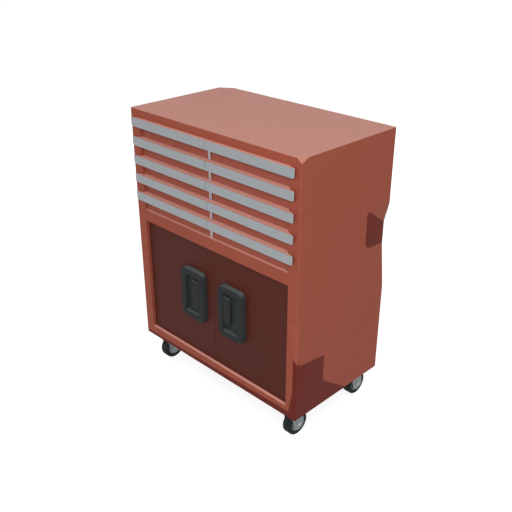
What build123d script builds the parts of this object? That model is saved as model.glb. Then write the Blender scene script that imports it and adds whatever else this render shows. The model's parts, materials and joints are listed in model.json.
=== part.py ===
from build123d import *
import os

# A tool cabinet on casters: two columns of drawers over a cupboard with two doors.
# Sizes are in millimetres. X runs to the viewer's right, the front faces -Y and Z is up.
# The origin is on the floor, in the middle of the cabinet's footprint.

# Steel body, without its casters
body_width = 785.0
body_depth = 443.0
body_height = 900.0
wall = 1.5
corner_radius = 3.0

# One overrun for every cut, so that no cutter ends on the face that it cuts
overrun = 4.0

# Cut corners of the top panel, at the front right and the rear left
front_cut_along = 19.0
front_cut_back = 30.0
front_cut_drop = 13.5
rear_cut_along = 49.0
rear_cut_forward = 33.0
rear_cut_drop = 22.0

# Relief pressed into the front right corner, with heights above the base
nick_along = 19.0
nick_back = 12.5
nick_top = 374.0
nick_front_height = 362.5
nick_side_height = 369.5
nick_foot = 140.0

# Scooped hand-hold in the rear edge of each side, with depths below the top
scoop_depth = 18.5
scoop_length = 126.0
scoop_edge_top = 251.0
scoop_edge_foot = 576.0
scoop_floor_top = 330.0
scoop_floor_foot = 394.0
scoop_front_top = 249.5
scoop_front_foot = 372.5
pad_thickness = 2.0
pad_margin = 1.0

# Front frame: rails, stiles and the folds behind their edges
top_rail_height = 27.75
mid_rail_height = 43.0
foot_height = 41.0
drawer_stile = 43.5
door_stile = 41.5
top_hem_depth = 6.0
drawer_return = 20.0
door_return = 28.0

# Band of the base that shows under the front frame, wider towards the right
band_left_height = 11.0
band_right_height = 24.4

# Back panel and its screws
rear_flange = 40.0
back_clearance = 4.0
back_lap = 4.0
back_screw_rows = 6
screw_shank_radius = 2.0
screw_head_radius = 4.2
screw_head_height = 1.6
screw_tail = 3.0
screw_clearance = 0.2

# Mullion, divider and deck
mullion_width = 10.8
mullion_set = 7.2
mullion_thickness = 2.8
deck_drop = 19.5

# Drawers
drawer_rows = 5
row_pitch = 67.5
front_gap = 1.0
face_side_gap = 1.2
drawer_recess = 10.8
tray_sheet = 1.0
tray_height = 50.0
tray_lift = 4.0
tray_rear_gap = 24.0

# Drawer pulls, each hung on a lip at the front of the drawer's ledge
pull_reach = 12.6
pull_height = 30.6
pull_thickness = 2.0
pull_overlap = 27.0
pull_split = 1.6
pull_chamfer = 5.0
pull_hook = 4.0
lip_height = 14.0
mitre_gap = 0.6

# Drawer slides and the uprights that carry the outer ones
slide_gap = 12.5
rail_height = 35.0
rail_sheet = 1.2
rail_front_gap = 2.0
rail_rear_gap = 38.0
rail_side_gap = 3.0
rail_mullion_gap = 0.65
rail_clearance = 0.4
upright_depth = 30.0
upright_flange = 15.0
upright_rear_gap = 44.0

# Doors, inset in the frame and hung on pins
door_recess = 11.5
door_depth = 20.0
door_side_gap = 1.5
door_top_gap = 2.5
door_foot_gap = 1.0
door_center_gap = 1.2
pivot_inset = 13.0
pivot_set = 5.0
pin_radius = 3.0
pin_entry = 8.0
pin_collar_radius = 6.0
running_gap = 0.05
seat_gap = 0.3

# Handle housings, moulded shells on the doors' faces with a pocket in front
handle_width = 121.5
handle_height = 199.0
handle_depth = 19.3
handle_offset = 96.5
handle_rise = 17.0
handle_corner = 26.0
handle_draft_degrees = 4.0
handle_bevel = 2.5
handle_wall = 3.0
pocket_width = 68.0
pocket_height = 149.0
pocket_corner = 8.0
pocket_depth = 14.0
pocket_wall = 2.4

# Paddle in the pocket, and the latch bolt that its arm draws down
paddle_width = 32.0
paddle_length = 107.0
paddle_thickness = 7.0
paddle_offset = 16.3
paddle_set = 0.5
paddle_rise = 59.0
paddle_round = 2.5
pivot_drop = 8.0
paddle_pin_radius = 2.5
arm_width = 8.0
arm_height = 5.0
arm_drop = 9.0
arm_clearance = 1.5
bolt_width = 14.0
bolt_thickness = 5.0
bolt_tail = 20.0
bolt_window = 8.4
bolt_gap = 1.5
bolt_nose_chamfer = 1.5
strike_width = 40.0
strike_depth = 12.0
strike_thickness = 1.8
strike_gap = 0.4

# Guard round the lower front right corner
guard_thickness = 1.2
guard_side_length = 137.0
guard_side_front_top = 212.0
guard_side_rear_top = 195.0
guard_step_height = 93.6
guard_toe_length = 265.0
guard_flap_top = 239.0
guard_flap_narrow = 12.6
guard_flap_wide = 27.0
guard_flap_knee = 105.0
guard_flap_foot = 30.0

# Casters
caster_inset_x = 60.5
caster_inset_y = 59.0
caster_plate_x = 104.0
caster_plate_y = 80.0
caster_plate_thickness = 3.5
caster_bolt_x = 80.0
caster_bolt_y = 60.0
raceway_radius = 25.0
raceway_height = 8.0
crown_thickness = 4.0
crown_half_length = 28.0
crown_clearance = 13.5
kingpin_radius = 6.0
trail = 12.0
cheek_thickness = 3.0
axle_boss_radius = 25.0
axle_radius = 5.0
axle_head_radius = 10.0
axle_head_height = 4.5
wheel_radius = 45.0
wheel_width = 32.0
wheel_side_gap = 1.5
tyre_thickness = 15.0
tyre_shoulder = 4.0
tyre_seat_gap = 0.05
hub_width = 28.0
hub_rim_thickness = 5.0
hub_web_thickness = 10.0
hub_boss_radius = 11.0
caster_bolt_radius = 4.0
caster_bolt_head_radius = 7.5
caster_bolt_head_height = 5.0
caster_nut_height = 6.5
bolt_hole_clearance = 0.3

# Cross channels under the base, one over each pair of casters
channel_depth = 92.0
channel_sheet = 2.0

# Places worked out from the sizes above
half_width = body_width / 2
caster_stack = crown_thickness + seat_gap + raceway_height + caster_plate_thickness
z_base = 2 * wheel_radius + crown_clearance + caster_stack
z_top = z_base + body_height
y_front = pull_reach - (pull_reach + body_depth + screw_head_height) / 2
y_rear = y_front + body_depth
y_middle = (y_front + y_rear) / 2
reach = 2 * (body_width + body_depth + body_height)

z_skirt = z_top - top_rail_height
z_drawers = z_skirt - front_gap - drawer_rows * row_pitch
z_door_top = z_drawers - mid_rail_height
z_door_foot = z_base + foot_height
z_floor = z_door_foot - wall
z_deck = z_drawers - deck_drop
drawer_half = half_width - drawer_stile
door_half = half_width - door_stile

y_face = y_front + drawer_recess
y_pull = y_front - pull_reach
y_rail_front = y_front + drawer_return + rail_front_gap
y_rail_rear = y_rear - rail_rear_gap
face_inner = mullion_width / 2 + face_side_gap
face_outer = drawer_half - face_side_gap
tray_inner = wall / 2 + slide_gap
tray_outer = drawer_half - slide_gap

y_door = y_front + door_recess
y_door_rear = y_door + door_depth
pivot_x = door_half - pivot_inset
pivot_y = y_door + pivot_set
door_foot = z_door_foot + door_foot_gap
door_top = z_door_top - door_top_gap
handle_z = (z_door_foot + z_door_top) / 2 + handle_rise
y_handle = y_door - handle_depth
paddle_x = handle_offset - paddle_offset
paddle_top = handle_z + paddle_rise
paddle_pivot_z = paddle_top - pivot_drop
paddle_front = y_handle + paddle_set
paddle_pivot_y = paddle_front + paddle_thickness / 2
bolt_y = y_door + wall + bolt_gap + bolt_thickness / 2

fork_half = wheel_width / 2 + wheel_side_gap
crown_top = z_base - caster_plate_thickness - raceway_height - seat_gap
crown_foot = crown_top - crown_thickness


def block(x_span, y_span, z_span):
    """A box between three pairs of faces."""
    spans = (x_span, y_span, z_span)
    size = [max(span) - min(span) for span in spans]
    middle = [(span[0] + span[1]) / 2 for span in spans]
    return Pos(*middle) * Box(*size)


def prism(points, span, axis):
    """Extrude a flat outline along an axis, between two places on that axis."""
    index = "XYZ".index(axis)
    corners = [point[:index] + (span[0],) + point[index:] for point in points]
    direction = tuple(1 if index == i else 0 for i in range(3))
    face = make_face(Polyline(*corners, close=True))
    return extrude(face, amount=span[1] - span[0], dir=direction)


def bar(place, span, radius, axis):
    """A round bar along an axis. Place gives the other two coordinates."""
    index = "XYZ".index(axis)
    start = place[:index] + (span[0],) + place[index:]
    direction = tuple(1 if index == i else 0 for i in range(3))
    return extrude(Plane(origin=start, z_dir=direction) * Circle(radius), amount=span[1] - span[0])


def group(shapes):
    """Separate solids that share one node."""
    return Compound([solid for shape in shapes for solid in shape.solids()])


def both_sides(shape):
    """A right-hand piece and its mirror image on the left."""
    return [shape, mirror(shape, about=Plane.YZ)]


def on_side(shape, side):
    """A right-hand piece as it is, or mirrored for the left."""
    return shape if side > 0 else mirror(shape, about=Plane.YZ)


def centered(length):
    """A span of this length about the middle."""
    return (-length / 2, length / 2)


def half_space(points, toward, grow):
    """The side of a plane that holds one point, with the plane moved that way by grow."""
    first, second, third = [Vector(*point) for point in points]
    normal = (second - first).cross(third - first).normalized()
    if normal.dot(Vector(*toward) - first) < 0:
        normal = -normal
    plane = Plane(origin=first + normal * grow, z_dir=normal)
    return extrude(plane * Rectangle(reach, reach), amount=reach)


def scoop_points(side):
    """Corners of the hand-hold: rear edge, deep end of its floor, front end of its floor."""
    edge = (side * half_width, y_rear)
    deep = (side * (half_width - scoop_depth), y_rear)
    front = (side * half_width, y_rear - scoop_length)
    depths = (
        (edge, scoop_edge_top, scoop_edge_foot),
        (deep, scoop_floor_top, scoop_floor_foot),
        (front, scoop_front_top, scoop_front_foot),
    )
    return [(place + (z_top - top,), place + (z_top - foot,)) for place, top, foot in depths]


def scoop(side, floor_grow, end_grow):
    """The space that the hand-hold takes out of the body."""
    edge, deep, front = scoop_points(side)
    corners = [Vector(*point) for pair in (edge, deep, front) for point in pair]
    toward = tuple(sum(corners, Vector(0, 0, 0)) / len(corners))
    floor = half_space((front[0], front[1], deep[0]), toward, floor_grow)
    upper = half_space((edge[0], front[0], deep[0]), toward, end_grow)
    lower = half_space((edge[1], front[1], deep[1]), toward, end_grow)
    return floor & upper & lower


def top_cut(x, y, along, inward, drop, grow):
    """The space that a cut corner of the top takes away."""
    x_step = -along if x > 0 else along
    y_step = inward if y < y_middle else -inward
    points = ((x + x_step, y, z_top), (x, y + y_step, z_top), (x, y, z_top - drop))
    return half_space(points, (x, y, z_top), grow)


def corner_nick(grow):
    """The space that the relief in the front right corner takes away."""
    top = (half_width, y_front, z_base + nick_top)
    foot = (half_width, y_front, z_base + nick_foot)
    front = (half_width - nick_along, y_front, z_base + nick_front_height)
    side = (half_width, y_front + nick_back, z_base + nick_side_height)
    return half_space((front, side, foot), top, grow) & half_space((front, side, top), foot, grow)


def envelope(grow, foot):
    """The body's outer form, grown evenly, with its foot this far below the base."""
    width = centered(body_width + 2 * grow)
    depth = (y_front - grow, y_rear + grow)
    form = block(width, depth, (z_base - foot, z_top + grow))
    form = fillet(form.edges().filter_by(Axis.Z), max(corner_radius + grow, seat_gap))
    form -= top_cut(half_width, y_front, front_cut_along, front_cut_back, front_cut_drop, grow)
    form -= top_cut(-half_width, y_rear, rear_cut_along, rear_cut_forward, rear_cut_drop, grow)
    form -= corner_nick(grow)
    for side in (-1, 1):
        form -= scoop(side, grow, grow)
    return form


outer_form = envelope(0, 0)
inner_form = envelope(-wall, overrun)
walls = outer_form - inner_form
guard_skin = envelope(guard_thickness, 0) - outer_form
everywhere = (-reach, reach)


def top_panel():
    """A pressed lid with skirts on all sides and a hem under its front skirt."""
    lid = walls & block(everywhere, everywhere, (z_skirt, z_top + overrun))
    hem_y = (y_front + wall, y_front + top_hem_depth)
    return lid + block(centered(2 * drawer_half), hem_y, (z_skirt, z_skirt + wall))


def back_screw_places():
    """Where the screws go through the rear flanges, as (x, z)."""
    back_half = half_width - scoop_depth - wall - back_clearance
    x = (half_width - rear_flange + back_half) / 2
    step = (z_skirt - z_floor) / back_screw_rows
    heights = [z_floor + (row + 1 / 2) * step for row in range(back_screw_rows)]
    return [(side * x, z) for side in (-1, 1) for z in heights]


def screw_holes():
    """Clearance holes for the back panel's screws."""
    y_span = (y_rear - 2 * wall - overrun, y_rear + overrun)
    radius = screw_shank_radius + screw_clearance
    return [bar(place, y_span, radius, "Y") for place in back_screw_places()]


def side_panel(side):
    """A side wall with its rounded corners, its hand-hold and a flange behind."""
    x_out = side * reach
    z_span = (z_base - overrun, z_skirt)
    front = block((side * (half_width - corner_radius), x_out), (-reach, y_middle), z_span)
    rear = block((side * (half_width - rear_flange), x_out), (y_middle, reach), z_span)
    panel = walls & (front + rear)
    for hole in screw_holes():
        panel -= hole
    return panel


def back_panel():
    """A flat sheet behind the flanges of the sides."""
    width = 2 * (half_width - scoop_depth - wall - back_clearance)
    y_span = (y_rear - 2 * wall, y_rear - wall)
    panel = block(centered(width), y_span, (z_floor - wall, z_skirt + back_lap))
    for hole in screw_holes():
        panel -= hole
    return panel


def back_screws():
    """Pan-head screws, each one solid of head and shank."""
    shank = (y_rear - 2 * wall - screw_tail, y_rear)
    head = (y_rear, y_rear + screw_head_height)
    screws = []
    for place in back_screw_places():
        screw = bar(place, shank, screw_shank_radius, "Y") + bar(place, head, screw_head_radius, "Y")
        screws.append(screw)
    return group(screws)


def band_space():
    """The strip of the front that belongs to the base, under the frame's sloping lower edge."""
    outline = (
        (-half_width, z_base),
        (half_width, z_base),
        (half_width, z_base + band_right_height),
        (-half_width, z_base + band_left_height),
    )
    return prism(outline, (y_front - overrun, y_front + wall), "Y")


def base_pan():
    """The cupboard's floor, turned down at its edges, with the band that shows in front."""
    tray = block(everywhere, (y_front + wall, y_rear - 2 * wall), (z_base, z_floor))
    tray &= inner_form
    hollow = block(
        centered(body_width - 4 * wall),
        (y_front + 2 * wall, y_rear - 3 * wall),
        (z_base - overrun, z_floor - wall),
    )
    shrunk = envelope(-2 * wall, overrun)
    tray -= hollow & shrunk
    band = walls & band_space() & block(centered(body_width - 2 * corner_radius), everywhere, everywhere)
    return tray + band


def caster_channels():
    """Two channels under the base that carry the caster plates."""
    clear_width = body_width - 4 * wall - 2 * seat_gap
    channels = []
    for row in (0, 1):
        y_mid = caster_centers()[row][1]
        y_span = (y_mid - channel_depth / 2, y_mid + channel_depth / 2)
        inside = (y_span[0] + channel_sheet, y_span[1] - channel_sheet)
        channel = block(centered(clear_width), y_span, (z_base, z_floor - wall))
        channel -= block(everywhere, inside, (z_base + channel_sheet, z_floor))
        for x, y in caster_bolt_places(row):
            hole = (z_base - overrun, z_base + channel_sheet + overrun)
            channel -= bar((x, y), hole, caster_bolt_radius + bolt_hole_clearance, "Z")
        channels.append(channel & envelope(-2 * wall - seat_gap, overrun))
    return group(channels)


def opening_folds(half, z_span, depth, sides):
    """Sheet folded back round an opening of the frame, on the named sides."""
    y_span = (y_front + wall, y_front + depth)
    z_out = (z_span[0] - wall, z_span[1] + (wall if "top" in sides else 0))
    folds = [block((side * half, side * (half + wall)), y_span, z_out) for side in (-1, 1)]
    folds.append(block(centered(2 * half), y_span, (z_out[0], z_span[0])))
    if "top" in sides:
        folds.append(block(centered(2 * half), y_span, (z_span[1], z_out[1])))
    return folds


def front_frame():
    """Stiles, mid rail and bottom rail, with folds round both openings."""
    y_span = (y_front - overrun, y_front + wall)
    width = centered(body_width - 2 * corner_radius)
    z_span = (z_base, z_skirt)
    nick_x = (half_width - nick_along - overrun, half_width - corner_radius)
    nick = block(nick_x, (y_front, y_front + nick_back + overrun), (z_door_foot, z_skirt))
    frame = walls & (block(width, y_span, z_span) + nick)
    frame -= band_space()
    frame -= block(centered(2 * drawer_half), y_span, (z_drawers, z_skirt + overrun))
    frame -= block(centered(2 * door_half), y_span, (z_door_foot, z_door_top))
    folds = opening_folds(drawer_half, (z_drawers, z_skirt), drawer_return, ("foot",))
    folds += opening_folds(door_half, (z_door_foot, z_door_top), door_return, ("foot", "top"))
    for fold in folds:
        frame += fold
    return frame


def center_mullion():
    """The strip between the two columns of drawer fronts."""
    y_set = y_front + mullion_set
    y_span = (y_set, y_set + mullion_thickness)
    return block(centered(mullion_width), y_span, (z_drawers, z_top - wall))


def center_divider():
    """The sheet between the two columns, behind the mullion."""
    y_start = y_front + mullion_set + mullion_thickness
    sheet = block(centered(wall), (y_start, y_rear - 2 * wall), (z_deck, z_top - wall))
    fold = block(everywhere, (-reach, y_front + drawer_return), (z_deck - overrun, z_drawers))
    return sheet - fold


def mid_deck():
    """The sheet between the drawers and the cupboard."""
    y_span = (y_front + wall, y_rear - 2 * wall)
    return block(everywhere, y_span, (z_deck - wall, z_deck)) & inner_form


def slide_uprights():
    """Four channel posts between the deck and the top, for the outer slides."""
    starts = (y_rail_front, y_rear - upright_rear_gap - upright_depth)
    posts = []
    for y in starts:
        y_span = (y, y + upright_depth)
        x_out = drawer_half + upright_flange
        post = block((drawer_half, x_out), y_span, (z_deck, z_top - wall))
        inside = (y_span[0] + wall, y_span[1] - wall)
        post -= block((drawer_half + wall, x_out + overrun), inside, everywhere)
        posts += both_sides(post)
    return group(posts)


def row_top(row):
    """Height of the top of a drawer front, counted from the top row."""
    return z_drawers + (drawer_rows - row) * row_pitch


def tray_foot(row):
    """Height of the underside of a drawer's tray."""
    return row_top(row) - row_pitch + front_gap + tray_lift


def channel(x_web, facing, width, height, z_mid, y_span):
    """A rail of channel section along Y, its web at x_web and its flanges facing that way."""
    x_tip = x_web + facing * width
    z_span = (z_mid - height / 2, z_mid + height / 2)
    inside = (z_span[0] + rail_sheet, z_span[1] - rail_sheet)
    rail = block((x_web, x_tip), y_span, z_span)
    cut = (x_web + facing * rail_sheet, x_tip + facing * overrun)
    return rail - block(cut, (y_span[0] - overrun, y_span[1] + overrun), inside)


def cabinet_rails():
    """The slides' fixed rails: on the divider and on the uprights, for each drawer."""
    width = slide_gap - rail_side_gap
    rails = []
    for row in range(drawer_rows):
        z_mid = tray_foot(row) + tray_height / 2
        y_span = (y_rail_front, y_rail_rear)
        rails += both_sides(channel(wall / 2, 1, width, rail_height, z_mid, y_span))
        rails += both_sides(channel(drawer_half, -1, width, rail_height, z_mid, y_span))
    return group(rails)


def drawer_front(row):
    """Face, ledge and lip of one drawer of the right-hand column."""
    z_high = row_top(row)
    z_low = z_high - row_pitch + front_gap
    face = block((face_inner, face_outer), (y_face, y_face + tray_sheet), (z_low, z_high))
    y_lip = y_pull + pull_thickness
    pull_ends = (pull_split / 2, drawer_half + pull_overlap)
    y_mitre = y_front - mitre_gap
    y_notch = y_front + mullion_set - mitre_gap
    plan = (
        (face_inner, y_face),
        (face_inner, y_notch),
        (pull_ends[0], y_notch),
        (pull_ends[0], y_lip),
        (pull_ends[1], y_lip),
        (pull_ends[1], y_lip + tray_sheet),
        (face_outer, y_mitre),
        (face_outer, y_face),
    )
    ledge = prism(plan, (z_high - tray_sheet, z_high), "Z")
    lip = block(pull_ends, (y_lip, y_lip + tray_sheet), (z_high - lip_height, z_high))
    return face + ledge + lip


def drawer_tray(row):
    """One drawer of the right-hand column: tray, front and two slide rails, each a solid."""
    z_low = tray_foot(row)
    y_span = (y_face + tray_sheet, y_rear - tray_rear_gap)
    tray = block((tray_inner, tray_outer), y_span, (z_low, z_low + tray_height))
    inside_x = (tray_inner + tray_sheet, tray_outer - tray_sheet)
    inside_y = (y_span[0] - overrun, y_span[1] - tray_sheet)
    tray -= block(inside_x, inside_y, (z_low + tray_sheet, z_low + tray_height + overrun))
    height = rail_height - 2 * rail_sheet - 2 * rail_clearance
    width = tray_inner - mullion_width / 2 - rail_mullion_gap
    z_mid = z_low + tray_height / 2
    inner_rail = channel(tray_inner, -1, width, height, z_mid, y_span)
    outer_rail = channel(tray_outer, 1, width, height, z_mid, y_span)
    return group([tray, drawer_front(row), inner_rail, outer_rail])


def drawer_pull(row):
    """The grey strip in front of one drawer's lip, hooked back along its lower edge."""
    z_high = row_top(row)
    z_low = z_high - pull_height
    x_low = pull_split / 2
    x_high = drawer_half + pull_overlap
    outline = (
        (x_low, z_high),
        (x_high, z_high),
        (x_high, z_low + pull_chamfer),
        (x_high - pull_chamfer, z_low),
        (x_low, z_low),
    )
    y_back = y_pull + pull_thickness
    strip = prism(outline, (y_pull, y_back), "Y")
    hook_x = (x_low, x_high - pull_chamfer)
    return strip + block(hook_x, (y_back, y_back + pull_hook), (z_low, z_low + pull_thickness))


def facing_front(x, y, z):
    """A plane that faces the front, with X to the right and Z up."""
    return Plane(origin=(x, y, z), x_dir=(1, 0, 0), z_dir=(0, -1, 0))


def pocket_form(grow, y_span):
    """The handle's pocket, grown evenly in its outline, between two depths."""
    plane = facing_front(handle_offset, y_span[1], handle_z)
    outline = RectangleRounded(pocket_width + 2 * grow, pocket_height + 2 * grow, pocket_corner + grow)
    return extrude(plane * outline, amount=y_span[1] - y_span[0])


def door():
    """The right-hand door: a pan of sheet with holes for its pins, handle and latch bolt."""
    x_span = (door_center_gap / 2, door_half - door_side_gap)
    pan = block(x_span, (y_door, y_door_rear), (door_foot, door_top))
    inside_x = (x_span[0] + wall, x_span[1] - wall)
    inside_y = (y_door + wall, y_door_rear + overrun)
    pan -= block(inside_x, inside_y, (door_foot + wall, door_top - wall))
    pan -= arm_slot((y_door - overrun, y_door + wall + overrun))
    pan -= bar((pivot_x, pivot_y), everywhere, pin_radius + running_gap, "Z")
    bolt_x = centered(bolt_width + 2 * seat_gap)
    slot_y = centered(bolt_thickness + 2 * seat_gap)
    slot = block(bolt_x, slot_y, centered(2 * wall + 2 * overrun))
    return pan - Pos(paddle_x, bolt_y, door_top) * slot


def arm_slot(y_span):
    """Room for the paddle's arm to pass through a wall and to swing down."""
    x_span = centered(arm_width + 2 * arm_clearance)
    z_span = (-arm_drop - arm_height / 2, arm_height / 2 + arm_clearance)
    return Pos(paddle_x, 0, paddle_pivot_z) * block(x_span, y_span, z_span)


def handle_shell(inset, depth):
    """The housing's drafted outer form, drawn in evenly and stopped at a depth."""
    plane = facing_front(handle_offset, y_door, handle_z)
    outline = RectangleRounded(handle_width - 2 * inset, handle_height - 2 * inset, handle_corner - inset)
    return extrude(plane * outline, amount=depth, taper=handle_draft_degrees)


def handle_housing():
    """A hollow moulded shell on the door's face, with a pocket and its pin holes."""
    housing = handle_shell(0, handle_depth)
    housing = chamfer(housing.faces().sort_by(Axis.Y)[0].edges(), handle_bevel)
    hollow = handle_shell(handle_wall, handle_depth - handle_wall - handle_bevel)
    housing -= hollow - pocket_form(pocket_wall, (y_handle, y_handle + pocket_depth + pocket_wall))
    housing -= pocket_form(0, (y_handle - overrun, y_handle + pocket_depth))
    pin_hole = bar((0, 0), centered(pocket_width + pocket_wall), paddle_pin_radius + running_gap, "X")
    housing -= Pos(handle_offset, paddle_pivot_y, paddle_pivot_z) * pin_hole
    return housing - arm_slot((y_handle + pocket_depth - overrun, y_door + overrun))


def handle_paddle():
    """The lever in the pocket, with its cross pin and the arm behind it."""
    paddle_y = (paddle_front, paddle_front + paddle_thickness)
    lever = block(centered(paddle_width), paddle_y, (paddle_top - paddle_length, paddle_top))
    lever = Pos(paddle_x, 0, 0) * fillet(lever.edges(), paddle_round)
    pin_span = centered(pocket_width + pocket_wall - 2 * seat_gap)
    pin = bar((0, 0), pin_span, paddle_pin_radius, "X")
    lever += Pos(handle_offset, paddle_pivot_y, paddle_pivot_z) * pin
    arm_z = centered(arm_height)
    arm = block(centered(arm_width), (paddle_pivot_y, bolt_y + bolt_thickness), arm_z)
    return lever + Pos(paddle_x, 0, paddle_pivot_z) * arm


def latch_bolt():
    """A flat bolt behind the door, with a window for the paddle's arm."""
    top = z_door_top - strike_thickness - strike_gap
    foot = paddle_pivot_z - bolt_tail
    y_span = (bolt_y - bolt_thickness / 2, bolt_y + bolt_thickness / 2)
    bolt = block(centered(bolt_width), y_span, (foot, top))
    nose = bolt.faces().sort_by(Axis.Z)[-1].edges()
    bolt = chamfer(nose, bolt_nose_chamfer)
    window = block(centered(arm_width + 2 * seat_gap), everywhere, centered(bolt_window))
    return Pos(paddle_x, 0, 0) * (bolt - Pos(0, 0, paddle_pivot_z) * window)


def latch_strike():
    """The plate over the bolt's nose, under the fold of the mid rail."""
    z_span = (z_door_top - strike_thickness, z_door_top)
    plate = block(centered(strike_width), centered(strike_depth), z_span)
    slot = block(centered(bolt_width + 2 * seat_gap), centered(bolt_thickness + 2 * seat_gap), z_span)
    return Pos(paddle_x, bolt_y, 0) * (plate - slot)


def hinge_pins():
    """Pins at the foot and the top of each door, the lower ones with a collar to sit on."""
    place = (pivot_x, pivot_y)
    foot = bar(place, (z_door_foot, door_foot + pin_entry), pin_radius, "Z")
    foot += bar(place, (z_door_foot, door_foot - seat_gap), pin_collar_radius, "Z")
    top = bar(place, (door_top - pin_entry, z_door_top), pin_radius, "Z")
    return group(both_sides(foot) + both_sides(top))


def corner_guard():
    """A sheet wrapped round the lower front right corner."""
    y_out = y_front - overrun
    x_out = half_width + overrun
    side_outline = (
        (y_out, z_base + guard_side_front_top),
        (y_front, z_base + guard_side_front_top),
        (y_front + guard_side_length, z_base + guard_side_rear_top),
        (y_front + guard_side_length, z_base + guard_step_height),
        (y_front + guard_toe_length, z_base),
        (y_out, z_base),
    )
    flap_outline = (
        (half_width - guard_flap_narrow, z_base + guard_flap_top),
        (x_out, z_base + guard_side_front_top),
        (x_out, z_base),
        (half_width - guard_flap_wide, z_base),
        (half_width - guard_flap_wide, z_base + guard_flap_foot),
        (half_width - guard_flap_narrow, z_base + guard_flap_knee),
    )
    corner = y_front + nick_back + corner_radius
    flap = prism(flap_outline, (y_out, corner), "Y")
    flank = prism(side_outline, (half_width - wall, x_out), "X")
    flank &= block(everywhere, (corner, reach), everywhere)
    return guard_skin & (flap + flank)


def grip_pad():
    """A thin pad on the floor of the hand-hold on the right."""
    rest = scoop(1, pad_thickness, pad_margin)
    room = block((0, half_width - pad_margin), (y_front, y_rear - pad_margin), everywhere)
    return (scoop(1, 0, pad_margin) - rest) & room


def caster_centers():
    """Swivel centres of the casters on the right: front, then rear."""
    x = half_width - caster_inset_x
    return [(x, y_front + caster_inset_y), (x, y_rear - caster_inset_y)]


def caster_bolt_places(row):
    """Where a pair of casters is bolted through its channel, as (x, y)."""
    x_mid, y_mid = caster_centers()[row]
    spread = [(x, y) for x in centered(caster_bolt_x) for y in centered(caster_bolt_y)]
    return [(side * x_mid + x, y_mid + y) for side in (-1, 1) for x, y in spread]


def at_caster(shape, side, row):
    """Set a caster piece, made about its swivel axis, under its corner of the base."""
    x_mid, y_mid = caster_centers()[row]
    return Pos(side * x_mid, y_mid, 0) * shape


def caster_plate():
    """The fixed plate of a caster, with its raceway and bolt holes."""
    z_under = z_base - caster_plate_thickness
    plate = block(centered(caster_plate_x), centered(caster_plate_y), (z_under, z_base))
    plate += bar((0, 0), (z_under - raceway_height, z_under), raceway_radius, "Z")
    plate -= bar((0, 0), everywhere, kingpin_radius + running_gap, "Z")
    for x in centered(caster_bolt_x):
        for y in centered(caster_bolt_y):
            plate -= bar((x, y), everywhere, caster_bolt_radius + bolt_hole_clearance, "Z")
    return plate


def caster_bolts():
    """Hex bolts and nuts that hold the caster plates to the channels."""
    head_top = z_base - caster_plate_thickness
    nut_foot = z_base + channel_sheet
    hexagon = RegularPolygon(radius=caster_bolt_head_radius, side_count=6)
    bolts = []
    for row in (0, 1):
        for x, y in caster_bolt_places(row):
            bolt = bar((x, y), (head_top, nut_foot), caster_bolt_radius, "Z")
            bolt += extrude(Pos(x, y, head_top) * hexagon, amount=-caster_bolt_head_height)
            bolt += extrude(Pos(x, y, nut_foot) * hexagon, amount=caster_nut_height)
            bolts.append(bolt)
    return group(bolts)


def caster_fork():
    """Crown, kingpin and two cheeks, and the axle bolt as a solid of its own."""
    outer = fork_half + cheek_thickness
    crown = block(centered(2 * outer), centered(2 * crown_half_length), (crown_foot, crown_top))
    crown += bar((0, 0), (crown_top, z_base - seat_gap), kingpin_radius, "Z")
    outline = (
        (-crown_half_length, crown_top),
        (crown_half_length, crown_top),
        (trail + axle_boss_radius, wheel_radius),
        (trail - axle_boss_radius, wheel_radius),
    )
    axle = (trail, wheel_radius)
    cheek = prism(outline, (fork_half, outer), "X")
    cheek += bar(axle, (fork_half, outer), axle_boss_radius, "X")
    cheek -= bar(axle, everywhere, axle_radius + running_gap, "X")
    fork = crown + cheek + mirror(cheek, about=Plane.YZ)
    bolt = bar(axle, centered(2 * outer), axle_radius, "X")
    for head in both_sides(bar(axle, (outer, outer + axle_head_height), axle_head_radius, "X")):
        bolt += head
    return group([fork, bolt])


def wheel_hub():
    """A hub with a rim, a web and a boss that runs on the axle."""
    radius = wheel_radius - tyre_thickness
    axle = (trail, wheel_radius)
    hub = bar(axle, centered(hub_width), radius, "X")
    hub -= bar(axle, centered(hub_width), radius - hub_rim_thickness, "X")
    hub += bar(axle, centered(hub_web_thickness), radius - hub_rim_thickness, "X")
    hub += bar(axle, centered(2 * (fork_half - seat_gap)), hub_boss_radius, "X")
    return hub - bar(axle, everywhere, axle_radius + running_gap, "X")


def wheel_tyre():
    """A solid tyre with rounded shoulders."""
    axle = (trail, wheel_radius)
    tyre = bar(axle, centered(wheel_width), wheel_radius, "X")
    tyre = fillet(tyre.edges(), tyre_shoulder)
    return tyre - bar(axle, everywhere, wheel_radius - tyre_thickness + tyre_seat_gap, "X")


sides = {"left": -1, "right": 1}
nodes = {
    "top_panel": top_panel(),
    "back_panel": back_panel(),
    "back_panel_screws": back_screws(),
    "base_pan": base_pan(),
    "caster_channels": caster_channels(),
    "front_frame": front_frame(),
    "center_mullion": center_mullion(),
    "center_divider": center_divider(),
    "mid_deck": mid_deck(),
    "slide_uprights": slide_uprights(),
    "cabinet_slide_rails": cabinet_rails(),
    "corner_guard": corner_guard(),
    "grip_pads": group(both_sides(grip_pad())),
    "hinge_pins": hinge_pins(),
    "latch_strikes": group(both_sides(latch_strike())),
    "caster_bolts": caster_bolts(),
}
for name, side in sides.items():
    nodes[f"{name}_side_panel"] = side_panel(side)
for row in range(drawer_rows):
    tray = drawer_tray(row)
    pull = drawer_pull(row)
    for name, side in sides.items():
        nodes[f"drawer_{name}_{row + 1}_tray"] = on_side(tray, side)
        nodes[f"drawer_{name}_{row + 1}_pull"] = on_side(pull, side)

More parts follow.
